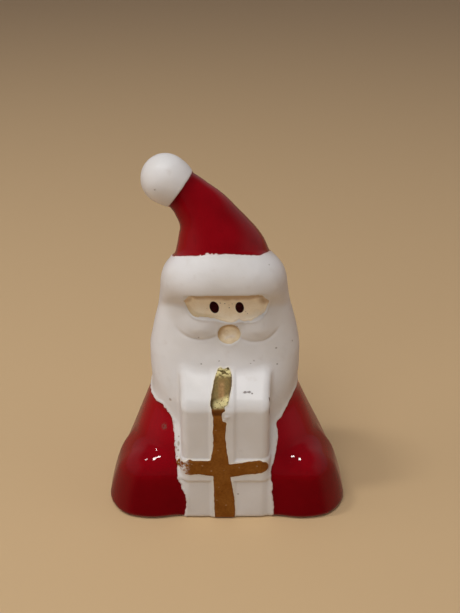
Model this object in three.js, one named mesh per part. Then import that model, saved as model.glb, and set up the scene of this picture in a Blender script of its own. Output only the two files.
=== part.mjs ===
// Santa figurine: one moulded, glazed and hand-painted piece, solid, standing on its flat underside.
// Millimetres, +Z up, the face looks along -Y, +X is to the viewer's right.
// The origin is on the table plane, under the middle of the figurine's box.
//
// The form is a field: each part of the body below gives a distance to its own surface,
// and the parts flow into each other with soft joins, as clay pressed in one mould does.
// Rings of points are then found on that field, one ring after another, along a line that
// runs straight up the body and bends over through the hat to the end of the bobble.

import * as THREE from 'three';

// ---------------------------------------------------------------- driving sizes

// Coat: a wide bell. Half widths and depths grow downwards from COAT.topZ.
const COAT = {
  topZ: 25.0,
  width: { top: 13.6, slope: 0.400, hem: 24.86, soft: 3.0 },
  front: { top: 8.3, slope: 0.50, hem: 15.2, soft: 3.5 },
  back: { top: 9.6, slope: 0.46, hem: 15.4, soft: 5.0 },
  fadeZ: 33.0, fadeSoft: 6.0,
};
const HEM = { round: 1.45, underBox: 0.9 };   // soft edge between the sides and the underside

// The two full corners of the coat at the front: crowned boxes with leaning sides and well-rounded edges.
const CORNER = {
  inner: 2.0, outer: 24.1, taper: 0.228,       // half widths, and how the sides lean in
  flare: 26.85, flareSlope: 0.55, flareSoft: 2.0,
  frontY: -16.2, lean: 0.06, backY: 2.0, topZ: 13.35,
  round: 4.4, planRound: 5.0, soft: 1.4,
  crownX: 14.8, fall: 0.028, drawBack: 0.039,    // away from crownX the top falls and the front draws back
};

// Head and beard: one long bulge, widest low down in the beard; its front leans back up to an upright face.
const HEAD = {
  x: -0.45, widestZ: 31.5, halfWidth: 14.7, back: 10.4,
  front: 9.45, frontZ: 30.5, frontSlope: 0.32, face: 7.7, faceSoft: 1.6,
  drop: 15.0, dropPower: 3.2, topZ: 46.0, topIn: 3.8, capZ: 50.0, power: 2.5,
};

// Gift box held in front, with a raised ribbon down the middle and across.
const BOX = { x: -0.35, halfWidth: 8.25, frontY: -15.5, topZ: 25.8, draft: 0.08, topRise: 0.70, edge: 1.4, soft: 0.8 };
const RIBBON = { x: -0.85, halfWidth: 2.35, lift: 0.32, z0: 8.9, z1: 13.9, soft: 0.35 };

// Rolled brim of the hat, worn a little back on the head. It is rounder in front than at the sides and back:
// a size given as a pair is its value in front and what the sides add to it.
const BRIM = {
  x: -0.62, y: 0.3, z: 46.0, tilt: 0.30, halfWidth: 12.15, depthRatio: 0.875,
  bulgeZ: [-1.73, -1.57], upH: 8.6, downH: 7.2, upPower: [2.0, 1.1], downPower: [2.0, 1.3],
  topZ: 5.4, bottomZ: [-4.9, -1.5], bottomSoft: 1.6,
};

// Hat: rings along a centre line [x, y, z, radius], bending over to the left.
const HAT = [
  [-1.0, 0.0, 45.6, 10.2],
  [-1.6, 0.2, 50.9, 9.0],
  [-3.83, 1.0, 57.1, 5.82],
  [-6.39, 1.8, 60.4, 4.40],
  [-8.7, 2.3, 62.4, 3.88],
];
const HAT_DEPTH_RATIO = 0.92;
const HAT_STEPS = 20;
const BOBBLE = { x: -11.4, y: 2.6, z: 64.3, r: 4.65, collar: 0.10 };

// Face: moustache swellings under a sunk eye slot, and a round dimple between them.
const LOBES = [
  { x: -5.2, z: 38.5, halfWidth: 4.8, up: 4.6, down: 2.7, lift: 1.10 },
  { x: 5.7, z: 38.1, halfWidth: 4.4, up: 5.0, down: 2.8, lift: 1.10 },
  { x: 0.3, z: 40.0, halfWidth: 6.0, up: 3.2, down: 3.0, lift: 0.80 },
];
const SLOT = {
  x: -0.20, halfWidth: 7.85, topZ: 46.15, height: 5.95, topFall: 0.9, tilt: 0.045,
  leftPower: 6, rightPower: 10,                // the right end is the squarer
  floorY: -7.6, floorZ: 42.0, lean: 0.13, bow: 0.02,
};
const DIMPLE = { x: 0.50, y: -10.76, z: 37.2, r: 3.46, flat: 0.86 };

// How finely the rings are cut: the stations they are threaded on, and how many lie up to the next.
// A station is a point on the line through the body, and how its ring leans towards +X and +Y.
const STATIONS = [
  { c: [0, 0, 0], lean: [0, 0], rings: 5, ease: 1.7 },
  { c: [0, 0, 2.8], lean: [0, 0], rings: 3 },
  { c: [0, 0, RIBBON.z0 - 0.4], lean: [0, 0], rings: 1 },
  { c: [0, 0, RIBBON.z0 + 0.4], lean: [0, 0], rings: 4 },
  { c: [0, 0, RIBBON.z1 - 0.4], lean: [0, 0], rings: 1 },
  { c: [0, 0, RIBBON.z1 + 0.4], lean: [0, 0], rings: 4 },
  { c: [0, 0, 23.0], lean: [0, 0], rings: 5 },
  { c: [0, 0, 28.5], lean: [0, 0.02], rings: 4 },
  { c: [0, 0, 34.2], lean: [0, 0.12], rings: 14 },
  { c: [0, 0, 42.8], lean: [0, 0.30], rings: 6 },
  { c: [-0.7, 0, 48.6], lean: [-0.14, 0.26], rings: 5 },
];
const HAT_FROM = 7;               // the hat's own rings take over from this step of its centre line
const RINGS_HAT = 7;
const RINGS_COLLAR = 2;           // rings from the hat's end to the middle of the bobble
const RINGS_BOBBLE = 7;           // rings round the end of the bobble
const AROUND = 72;                // points in a ring
const FRONT_DENSITY = 0.50;       // share by which the points crowd towards the front

// The middle of the figurine's box in plan, which is put over the origin.
const MIDDLE = { x: -0.05, y: -0.36 };

// ---------------------------------------------------------------- soft joins

const clamp = (v, a, b) => Math.min(Math.max(v, a), b);

function join(a, b, k) {          // the lower of two distances, rounded over k
  const h = Math.max(k - Math.abs(a - b), 0) / k;
  return Math.min(a, b) - h * h * k * 0.25;
}

function cut(a, b, k) {           // the higher of two distances, rounded over k
  return -join(-a, -b, k);
}

function ease(a, b, v) {
  const t = clamp((v - a) / (b - a), 0, 1);
  return t * t * (3 - 2 * t);
}

// Distance, along the radius, to a rounded-rectangle outline in plan.
function outline(x, y, halfWidth, front, back, power) {
  const depth = y < 0 ? front : back;
  const q = Math.max((Math.abs(x / halfWidth) ** power + Math.abs(y / depth) ** power) ** (1 / power), 1e-6);
  return Math.hypot(x, y) * (1 - 1 / q);
}

// ---------------------------------------------------------------- parts of the form

function coat(x, y, z) {
  const down = COAT.topZ - z;
  const size = (s) => Math.max(join(s.top + s.slope * down, s.hem, s.soft), 1);
  const power = 2.5 + 0.9 * ease(20, 4, z);
  const lean = 0.05 + 0.45 * ease(4, 22, z);
  const d = outline(x + lean, y, size(COAT.width), size(COAT.front), size(COAT.back), power);
  return cut(d, z - COAT.fadeZ, COAT.fadeSoft);
}

function corner(x, y, z, side) {
  const up = Math.max(z, 0);
  const out = side * (x + 0.05);
  const over = (out - CORNER.crownX) ** 2;
  const { round: r, planRound: R } = CORNER;
  const wide = join(CORNER.outer - CORNER.taper * up, CORNER.flare - CORNER.flareSlope * up, CORNER.flareSoft);
  const qx = Math.max(out - (wide - R), CORNER.inner + R - out);
  const front = CORNER.frontY + CORNER.lean * up + CORNER.drawBack * over;
  const qy = Math.max(front + R - y, y - CORNER.backY + R);
  const plan = Math.hypot(Math.max(qx, 0), Math.max(qy, 0)) + Math.min(Math.max(qx, qy), 0) - R;
  const ps = plan + r;
  const pz = z - (CORNER.topZ - CORNER.fall * over) + r;
  return Math.hypot(Math.max(ps, 0), Math.max(pz, 0)) + Math.min(Math.max(ps, pz), 0) - r;
}

function head(x, y, z) {
  const lo = clamp((HEAD.widestZ - z) / HEAD.drop, 0, 0.999);
  const hi = clamp((z - HEAD.widestZ) / (HEAD.topZ - HEAD.widestZ), 0, 1.6);
  const s = (1 - lo ** HEAD.dropPower) ** (1 / HEAD.dropPower);
  const halfWidth = HEAD.halfWidth * s - HEAD.topIn * hi ** 1.25;
  const front = cut(HEAD.face, HEAD.front - HEAD.frontSlope * (z - HEAD.frontZ), HEAD.faceSoft) * (0.66 + 0.34 * s);
  const back = HEAD.back * s - 1.8 * hi ** 1.7;
  let d = outline(x - HEAD.x, y, Math.max(halfWidth, 1), Math.max(front, 1), Math.max(back, 1), HEAD.power);
  d = cut(d, z - HEAD.capZ, 3);
  return cut(d, HEAD.widestZ - HEAD.drop - z, 3);
}

function giftBox(x, y, z) {
  const behind = Math.max(y - BOX.frontY, 0);
  const qx = Math.abs(x - BOX.x) - (BOX.halfWidth + BOX.draft * behind - BOX.edge);
  const qy = Math.max(BOX.frontY - y, y) + BOX.edge;
  const qz = z - (BOX.topZ + BOX.topRise * behind - BOX.edge);
  const outside = Math.hypot(Math.max(qx, 0), Math.max(qy, 0), Math.max(qz, 0));
  const d = outside + Math.min(Math.max(qx, qy, qz), 0) - BOX.edge;
  const s = RIBBON.soft;
  const down = ease(s, -s, Math.abs(x - RIBBON.x) - RIBBON.halfWidth);
  const middle = (RIBBON.z0 + RIBBON.z1) / 2;
  const across = ease(s, -s, Math.abs(z - middle) - (RIBBON.z1 - RIBBON.z0) / 2) * ease(-11.5, -13.5, y);
  return d - RIBBON.lift * Math.max(down, across);
}

function brim(x, y, z) {
  const h = z + y * BRIM.tilt - BRIM.z;
  const side = ease(-8, 0, y);
  const at = ([front, more]) => front + more * side;
  const bulge = at(BRIM.bulgeZ);
  const up = h > bulge;
  const u = clamp(up ? (h - bulge) / BRIM.upH : (bulge - h) / BRIM.downH, 0, 0.9999);
  const p = at(up ? BRIM.upPower : BRIM.downPower);
  const a = Math.max(BRIM.halfWidth * (1 - u ** p) ** (1 / p), 0.4);
  const b = a * BRIM.depthRatio;
  let d = outline(x - BRIM.x, y - BRIM.y, a, b, b, 2.5);
  d = cut(d, h - BRIM.topZ, 1);
  return cut(d, at(BRIM.bottomZ) - h, BRIM.bottomSoft);
}

// The hat's centre line, as rings with a centre, a radius and the direction onwards.
function catmullRom(points, u) {
  const i = Math.min(Math.floor(u), points.length - 4);
  const f = u - i;
  const [a, b, c, d] = points.slice(i, i + 4);
  return b.map((_, k) => 0.5 * (2 * b[k] + (c[k] - a[k]) * f + (2 * a[k] - 5 * b[k] + 4 * c[k] - d[k]) * f * f
    + (3 * b[k] - a[k] - 3 * c[k] + d[k]) * f * f * f));
}

function framesAlong(points, steps) {
  const span = points.length - 3;
  const at = [];
  for (let i = 0; i <= steps; i++) at.push(catmullRom(points, (i / steps) * span * (1 - 1e-9)));
  return at.map((p, i) => {
    const a = at[Math.max(i - 1, 0)];
    const b = at[Math.min(i + 1, steps)];
    const dir = new THREE.Vector3(b[0] - a[0], b[1] - a[1], b[2] - a[2]).normalize();
    return { c: new THREE.Vector3(p[0], p[1], p[2]), r: p[3], t: dir };
  });
}

const hatPoints = [
  HAT[0].map((v, k) => 2 * v - HAT[1][k]),
  ...HAT,
  [BOBBLE.x, BOBBLE.y, BOBBLE.z, 3.7],
];
const hatRings = framesAlong(hatPoints, HAT_STEPS);
const hatEnd = hatRings[HAT_STEPS];

function ahead(ring, x, y, z) {
  return (x - ring.c.x) * ring.t.x + (y - ring.c.y) * ring.t.y + (z - ring.c.z) * ring.t.z;
}

function hat(x, y, z) {
  const first = ahead(hatRings[0], x, y, z);
  let i = 0;
  let w = first;
  let f = 0;
  while (w > 0 && i < HAT_STEPS) {
    const next = ahead(hatRings[i + 1], x, y, z);
    if (next <= 0) { f = w / (w - next); w = next; break; }
    w = next;
    i += 1;
  }
  const a = hatRings[Math.min(i, HAT_STEPS)];
  const b = hatRings[Math.min(i + 1, HAT_STEPS)];
  const mix = (p, q) => p * (1 - f) + q * f;
  const c = [mix(a.c.x, b.c.x), mix(a.c.y, b.c.y), mix(a.c.z, b.c.z)];
  const t = [mix(a.t.x, b.t.x), mix(a.t.y, b.t.y), mix(a.t.z, b.t.z)];
  const r = mix(a.r, b.r);
  const p = [x - c[0], y - c[1], z - c[2]];
  const deep = [-t[0] * t[1], 1 - t[1] * t[1], -t[2] * t[1]];
  const len = Math.hypot(...deep);
  const pb = (p[0] * deep[0] + p[1] * deep[1] + p[2] * deep[2]) / len;
  const al = p[0] * t[0] + p[1] * t[1] + p[2] * t[2];
  const rest = Math.max(p[0] ** 2 + p[1] ** 2 + p[2] ** 2 - pb * pb - al * al, 0);
  const depth = HAT_DEPTH_RATIO + (1 - HAT_DEPTH_RATIO) * clamp((i + f) / HAT_STEPS, 0, 1);
  const q = Math.max(Math.sqrt(rest + (pb / depth) ** 2) / r, 1e-6);
  let d = Math.sqrt(rest + pb * pb) * (1 - 1 / q) * 0.86;
  if (w > 0) d = Math.max(d, w);
  if (first < 0) d = Math.max(d, -first);
  return d;
}

function bobble(x, y, z) {
  const ball = Math.hypot(x - BOBBLE.x, y - BOBBLE.y, z - BOBBLE.z) - BOBBLE.r;
  const axis = new THREE.Vector3(hatEnd.c.x - BOBBLE.x, hatEnd.c.y - BOBBLE.y, hatEnd.c.z - BOBBLE.z);
  const L = axis.length();
  axis.divideScalar(L);
  const p = [x - BOBBLE.x, y - BOBBLE.y, z - BOBBLE.z];
  const s = p[0] * axis.x + p[1] * axis.y + p[2] * axis.z;
  const r = Math.sqrt(Math.max(p[0] ** 2 + p[1] ** 2 + p[2] ** 2 - s * s, 0));
  const wide = BOBBLE.r + (hatEnd.r + BOBBLE.collar - BOBBLE.r) * clamp(s / L, 0, 1) ** 2;
  return s <= 0 ? ball : cut(r - wide, s - L, 0.25);
}

// How far the moustache swells out of the beard.
function moustache(x, y, z) {
  let h = 0;
  for (const l of LOBES) {
    const e = Math.hypot((x - l.x) / l.halfWidth, (z - l.z) / (z > l.z ? l.up : l.down));
    h = cut(h, l.lift * ease(1.05, 0, e) ** 0.8, 0.3);
  }
  return Math.max(h - 0.075, 0) * ease(0, -4, y);
}

function eyeSlot(x, y, z) {
  const u = (x - SLOT.x) / SLOT.halfWidth;
  const top = SLOT.topZ - SLOT.topFall * u ** 4;
  const power = u < 0 ? SLOT.leftPower : SLOT.rightPower;
  const low = SLOT.topZ - SLOT.height * Math.sqrt(1 - clamp(Math.abs(u), 0, 1) ** power) - SLOT.tilt * (x - SLOT.x);
  const edge = Math.max(z - top, low - z, (Math.abs(u) - 1) * SLOT.halfWidth);
  return cut(edge, y - SLOT.floorY - SLOT.bow * (x - SLOT.x) ** 2 + SLOT.lean * (z - SLOT.floorZ), 0.8);
}

function dimple(x, y, z) {
  return Math.hypot(x - DIMPLE.x, y - DIMPLE.y, (z - DIMPLE.z) / DIMPLE.flat) - DIMPLE.r;
}

function figurine(x, y, z) {
  let d = coat(x, y, z);
  d = join(d, corner(x, y, z, -1), CORNER.soft);
  d = join(d, corner(x, y, z, 1), CORNER.soft);
  d = join(d, head(x, y, z) - moustache(x, y, z), 1.8);
  d = join(d, giftBox(x, y, z), BOX.soft);
  d = join(d, brim(x, y, z), 1.2);
  d = join(d, hat(x, y, z), 1.5);
  d = join(d, bobble(x, y, z), 0.3);
  d = cut(d, -eyeSlot(x, y, z), 0.35);
  d = cut(d, -dimple(x, y, z), 0.3);
  const round = HEM.underBox + (HEM.round - HEM.underBox) * Math.max(ease(8, 11, Math.abs(x)), ease(-8, -3, y));
  return cut(d, -z, round);
}

// ---------------------------------------------------------------- rings on the form

// The line that the rings are threaded on: straight up the body, then over through the hat.
function ringFrames() {
  const key = STATIONS.map(({ c, lean, rings, ease: e }) => ({
    c: new THREE.Vector3(...c), t: new THREE.Vector3(lean[0], lean[1], 1).normalize(), rings, e: e ?? 1,
  }));
  for (let i = 0; i <= RINGS_HAT; i++) {
    const u = HAT_FROM + ((HAT_STEPS - HAT_FROM) * i) / RINGS_HAT;
    const a = hatRings[Math.floor(u)];
    const b = hatRings[Math.ceil(u)];
    const f = u - Math.floor(u);
    key.push({ c: a.c.clone().lerp(b.c, f), t: a.t.clone().lerp(b.t, f).normalize(), rings: 1, e: 1 });
  }
  const middle = new THREE.Vector3(BOBBLE.x, BOBBLE.y, BOBBLE.z);
  const out = middle.clone().sub(hatEnd.c).normalize();
  key[key.length - 1].rings = RINGS_COLLAR;
  key.push({ c: middle, t: out, rings: 1, e: 1 });
  const frames = [];
  for (let k = 0; k + 1 < key.length; k++) {
    const a = key[k];
    const b = key[k + 1];
    for (let i = 0; i < a.rings; i++) {
      const f = (i / a.rings) ** a.e;
      frames.push({ c: a.c.clone().lerp(b.c, f), t: a.t.clone().lerp(b.t, f).normalize() });
    }
  }
  for (let i = 0; i < RINGS_BOBBLE; i++) {
    const s = BOBBLE.r * Math.sin((Math.PI / 2) * (i / RINGS_BOBBLE));
    frames.push({ c: middle.clone().addScaledVector(out, s), t: out });
  }
  return { frames, tip: middle.clone().addScaledVector(out, BOBBLE.r) };
}

// How far out from a point on the line the surface lies, in one direction.
function reach(c, dir) {
  const at = (r) => figurine(c.x + dir.x * r, c.y + dir.y * r, c.z + dir.z * r) - 0.0015;
  let r = 32;
  let v = at(r);
  while (v > 0 && r > 0.02) {
    r = Math.max(r - Math.max(v * 0.6, 0.05), 0);
    v = at(r);
  }
  let lo = r;
  let hi = r + 0.4;
  while (at(hi) <= 0) hi += 0.4;
  for (let k = 0; k < 24; k++) {
    const m = (lo + hi) / 2;
    if (at(m) > 0) hi = m; else lo = m;
  }
  return (lo + hi) / 2;
}

function body() {
  const { frames, tip } = ringFrames();
  const positions = [0, 0, 0];
  const front = -Math.PI / 2;
  for (const { c, t } of frames) {
    const deep = new THREE.Vector3(0, 1, 0).addScaledVector(t, -t.y).normalize();
    const side = new THREE.Vector3().crossVectors(deep, t).normalize();
    for (let j = 0; j < AROUND; j++) {
      const u = (2 * j) / AROUND - 1;
      const angle = front + Math.PI * (u - (FRONT_DENSITY * Math.sin(Math.PI * u)) / Math.PI);
      const dir = side.clone().multiplyScalar(Math.cos(angle)).addScaledVector(deep, Math.sin(angle));
      const r = reach(c, dir);
      positions.push(c.x + dir.x * r, c.y + dir.y * r, Math.max(c.z + dir.z * r, 0));
    }
  }
  positions.push(tip.x, tip.y, tip.z);
  const index = [];
  const id = (ring, j) => 1 + ring * AROUND + ((j + AROUND) % AROUND);
  for (let j = 0; j < AROUND; j++) index.push(0, id(0, j + 1), id(0, j));
  const at = (k) => positions.slice(3 * k, 3 * k + 3);
  const miss = (p, q) => {        // how far the middle of a fold lies from the form
    const [a, b] = [at(p), at(q)];
    return Math.abs(figurine((a[0] + b[0]) / 2, (a[1] + b[1]) / 2, (a[2] + b[2]) / 2));
  };
  for (let i = 0; i + 1 < frames.length; i++) {
    for (let j = 0; j < AROUND; j++) {
      const [a, b, c, d] = [id(i, j), id(i, j + 1), id(i + 1, j + 1), id(i + 1, j)];
      if (miss(a, c) <= miss(b, d)) index.push(a, b, c, a, c, d);
      else index.push(a, b, d, b, c, d);
    }
  }
  const end = positions.length / 3 - 1;
  for (let j = 0; j < AROUND; j++) index.push(id(frames.length - 1, j), id(frames.length - 1, j + 1), end);
  const geometry = new THREE.BufferGeometry();
  geometry.setAttribute('position', new THREE.Float32BufferAttribute(positions, 3));
  geometry.setIndex(index);
  geometry.translate(-MIDDLE.x, -MIDDLE.y, 0);
  geometry.computeVertexNormals();
  return geometry;
}

const figure = new THREE.Group();
const glaze = new THREE.MeshStandardMaterial({ color: 0x8c1020, roughness: 0.15, metalness: 0 });
const piece = new THREE.Mesh(body(), glaze);
piece.name = 'santa_figurine';
figure.add(piece);

export default figure;
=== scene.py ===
"""Looks of the santa figurine: one moulded, glazed and painted ceramic piece.

The form is the same field of soft-joined bodies as the CAD part, here cut much finer, with the relief
of the paint on it. Lengths in this file's field are millimetres; the mesh is scaled to metres at the end.
"""
import math

import bpy
import numpy as np
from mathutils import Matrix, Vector


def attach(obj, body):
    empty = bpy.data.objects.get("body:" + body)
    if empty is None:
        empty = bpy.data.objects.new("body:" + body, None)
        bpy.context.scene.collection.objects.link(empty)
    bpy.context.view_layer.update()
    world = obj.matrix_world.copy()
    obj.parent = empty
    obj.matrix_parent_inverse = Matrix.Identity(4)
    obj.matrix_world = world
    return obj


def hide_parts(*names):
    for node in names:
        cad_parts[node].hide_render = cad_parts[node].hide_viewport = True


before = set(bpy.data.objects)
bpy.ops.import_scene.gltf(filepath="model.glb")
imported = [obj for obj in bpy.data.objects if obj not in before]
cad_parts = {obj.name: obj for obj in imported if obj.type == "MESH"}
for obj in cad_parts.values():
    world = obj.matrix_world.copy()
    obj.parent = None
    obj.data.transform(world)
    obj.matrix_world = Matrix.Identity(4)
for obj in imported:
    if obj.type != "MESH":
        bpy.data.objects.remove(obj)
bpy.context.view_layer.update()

# ------------------------------------------------------------------ sizes of the form, as in the CAD part

COAT_W_HEM, COAT_W_SLOPE, COAT_W_TOP = 24.86, 0.400, 13.6     # half width, gain per mm down, at Z_COAT
COAT_F_SLOPE, COAT_F_TOP, COAT_F_HEM = 0.50, 8.3, 15.2
COAT_B_SLOPE, COAT_B_TOP, COAT_B_HEM = 0.46, 9.6, 15.4
Z_COAT = 25.0
HEM_ROUND, HEM_BOX = 1.45, 0.9
CORNER_IN, CORNER_OUT, CORNER_TAPER, CORNER_FRONT, CORNER_BACK = 2.0, 24.1, 0.228, -16.2, 2.0
CORNER_FLARE, CORNER_FLARE_SLOPE = 26.85, 0.55            # half width at the table and slope of the upper sides
CORNER_TOP, CORNER_ROUND, CORNER_PLAN_ROUND, CORNER_LEAN, CORNER_SOFT = 13.35, 4.4, 5.0, 0.06, 1.4
CORNER_SIDE_FALL, CORNER_SIDE_BACK, CORNER_SIDE_FROM = 0.028, 0.039, 14.8

HEAD_X = -0.45
BEARD_Z, BEARD_HALF_W, BEARD_FRONT, BEARD_BACK = 31.5, 14.7, 9.45, 10.4
FACE_FRONT, FACE_SLOPE, FACE_Z = 7.7, 0.32, 30.5
BEARD_DROP = 15.0
HEAD_TOP_Z = 46.0
HEAD_TOP_IN = 3.8

BOX_X, BOX_HALF_W, BOX_FRONT, BOX_TOP = -0.35, 8.25, -15.5, 25.8
BOX_DRAFT, BOX_TOP_RISE, BOX_EDGE = 0.08, 0.70, 1.4
RIBBON_X, RIBBON_HALF_W, RIBBON_LIFT = -0.85, 2.35, 0.32
RIBBON_Z0, RIBBON_Z1 = 8.9, 13.9

BAND_X, BAND_Y, BAND_Z, BAND_TILT, BAND_HALF_W, BAND_DEPTH_RATIO = -0.62, 0.3, 46.0, 0.30, 12.15, 0.875

# hat centre line: x, y, z, radius
HAT = [(-1.0, 0.0, 45.6, 10.2), (-1.6, 0.2, 50.9, 9.0), (-3.83, 1.0, 57.1, 5.82),
       (-6.39, 1.8, 60.4, 4.40), (-8.7, 2.3, 62.4, 3.88)]
HAT_DEPTH = 0.92
HAT_STEPS = 48
BOBBLE = (-11.4, 2.6, 64.3, 4.65)

# moustache: soft swellings of the beard, x, z, half width, half height, height
LOBES = [(-5.2, 38.5, 4.8, 4.6, 2.7, 1.10), (5.7, 38.1, 4.4, 5.0, 2.8, 1.10), (0.3, 40.0, 6.0, 3.2, 3.0, 0.80)]
SLOT_X, SLOT_HALF_W, SLOT_TOP, SLOT_H = -0.20, 7.85, 46.15, 5.95
SLOT_FLOOR, SLOT_LEAN = 7.6, 0.13
DIMPLE = (0.50, -10.76, 37.2, 3.46)
DIMPLE_FLAT = 0.86

MIDDLE = (-0.05, -0.36)           # the middle of the box in plan, put over the origin


# ------------------------------------------------------------------ soft joins

def join(a, b, k):
    h = np.maximum(k - np.abs(a - b), 0.0) / k
    return np.minimum(a, b) - h * h * k * 0.25


def cut(a, b, k):
    return -join(-a, -b, k)


def ease(a, b, v):
    t = np.clip((v - a) / (b - a), 0.0, 1.0)
    return t * t * (3 - 2 * t)


def outline(x, y, a, bf, bb, n):
    b = np.where(y < 0, bf, bb)
    q = np.maximum((np.abs(x / a) ** n + np.abs(y / b) ** n) ** (1.0 / n), 1e-6)
    return np.hypot(x, y) * (1 - 1 / q)


# ------------------------------------------------------------------ parts of the form

def coat(x, y, z):
    down = Z_COAT - z
    a = join(COAT_W_TOP + COAT_W_SLOPE * down, COAT_W_HEM, 3.0)
    f = join(COAT_F_TOP + COAT_F_SLOPE * down, COAT_F_HEM, 3.5)
    b = join(COAT_B_TOP + COAT_B_SLOPE * down, COAT_B_HEM, 5.0)
    n = 2.5 + 0.9 * ease(20.0, 4.0, z)
    d = outline(x + 0.05 + 0.45 * ease(4.0, 22.0, z), y, np.maximum(a, 1), np.maximum(f, 1), np.maximum(b, 1), n)
    return cut(d, z - 33.0, 6.0)


def corner(x, y, z, side):
    """A full corner of the coat: a box with a flat front, leaning sides and well-rounded edges."""
    up = np.maximum(z, 0)
    sx = side * (x + 0.05)
    over = (sx - CORNER_SIDE_FROM) ** 2
    R, r = CORNER_PLAN_ROUND, CORNER_ROUND
    out = join(CORNER_OUT - CORNER_TAPER * up, CORNER_FLARE - CORNER_FLARE_SLOPE * up, 2.0)
    qx = np.maximum(sx - (out - R), CORNER_IN + R - sx)
    qy = np.maximum(CORNER_FRONT + CORNER_LEAN * up + CORNER_SIDE_BACK * over + R - y, y - CORNER_BACK + R)
    plan = np.hypot(np.maximum(qx, 0), np.maximum(qy, 0)) + np.minimum(np.maximum(qx, qy), 0) - R
    px, pz = plan + r, z - (CORNER_TOP - CORNER_SIDE_FALL * over) + r
    return np.hypot(np.maximum(px, 0), np.maximum(pz, 0)) + np.minimum(np.maximum(px, pz), 0) - r


def moustache(x, y, z):
    """The moustache: soft lobes, longer upwards than downwards."""
    h = 0.0
    for cx, cz, rx, up, down, H in LOBES:
        e = np.sqrt(((x - cx) / rx) ** 2 + ((z - cz) / np.where(z > cz, up, down)) ** 2)
        h = cut(h, H * ease(1.05, 0.0, e) ** 0.8, 0.3)
    return np.maximum(h - 0.075, 0) * ease(0.0, -4.0, y)


def head(x, y, z):
    lo = np.clip((BEARD_Z - z) / BEARD_DROP, 0, 0.999)
    hi = np.clip((z - BEARD_Z) / (HEAD_TOP_Z - BEARD_Z), 0, 1.6)
    s = (1 - lo ** 3.2) ** (1 / 3.2)
    a = BEARD_HALF_W * s - HEAD_TOP_IN * hi ** 1.25
    f = cut(FACE_FRONT, BEARD_FRONT - FACE_SLOPE * (z - FACE_Z), 1.6) * (0.66 + 0.34 * s)
    b = BEARD_BACK * s - 1.8 * hi ** 1.7
    d = outline(x - HEAD_X, y, np.maximum(a, 1), np.maximum(f, 1), np.maximum(b, 1), 2.5)
    d = cut(d, z - 50.0, 3.0)
    return cut(d, (BEARD_Z - BEARD_DROP) - z, 3.0)


def gift_box(x, y, z):
    back = np.maximum(y - BOX_FRONT, 0.0)
    w = BOX_HALF_W + BOX_DRAFT * back
    top = BOX_TOP + BOX_TOP_RISE * back
    r = BOX_EDGE
    qx = np.abs(x - BOX_X) - (w - r)
    qy = np.maximum(BOX_FRONT - y, y) + r
    qz = z - (top - r)
    outside = np.sqrt(np.maximum(qx, 0) ** 2 + np.maximum(qy, 0) ** 2 + np.maximum(qz, 0) ** 2)
    inside = np.minimum(np.maximum(np.maximum(qx, qy), qz), 0.0)
    d = outside + inside - r
    v = ease(0.35, -0.35, np.abs(x - RIBBON_X) - RIBBON_HALF_W)
    h = ease(0.35, -0.35, np.abs(z - (RIBBON_Z0 + RIBBON_Z1) / 2) - (RIBBON_Z1 - RIBBON_Z0) / 2)
    return d - RIBBON_LIFT * np.maximum(v, h * ease(-11.5, -13.5, y))


def brim(x, y, z):
    h = z + y * BAND_TILT - BAND_Z
    side = ease(-8.0, 0.0, y)
    wide = -1.73 - 1.57 * side                     # where it is widest
    u = np.where(h > wide, (h - wide) / 8.6, (wide - h) / 7.2)
    p = np.where(h > wide, 2.0 + 1.1 * side, 2.0 + 1.3 * side)
    s = (1 - np.clip(u, 0, 0.9999) ** p) ** (1 / p)
    a = np.maximum(BAND_HALF_W * s, 0.4)
    b = a * BAND_DEPTH_RATIO
    d = outline(x - BAND_X, y - BAND_Y, a, b, b, 2.5)
    d = cut(d, h - 5.4, 1.0)
    return cut(d, -(4.9 + 1.5 * side) - h, 1.6)


def hat_line(t):
    P = np.array(HAT)
    P = np.vstack([2 * P[0] - P[1], P, np.array(BOBBLE)])
    P[-1, 3] = 3.7
    n = len(HAT) - 1
    u = np.clip(t, 0, 1) * n
    i = np.minimum(u.astype(int), n - 1)
    f = (u - i)[:, None]
    a, b, c, d = P[i], P[i + 1], P[i + 2], P[i + 3]
    return 0.5 * (2 * b + (c - a) * f + (2 * a - 5 * b + 4 * c - d) * f ** 2 + (3 * b - a - 3 * c + d) * f ** 3)


HC = hat_line(np.linspace(0, 1, HAT_STEPS + 1))
HT = np.gradient(HC[:, :3], axis=0)
HT /= np.linalg.norm(HT, axis=1)[:, None]


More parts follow.
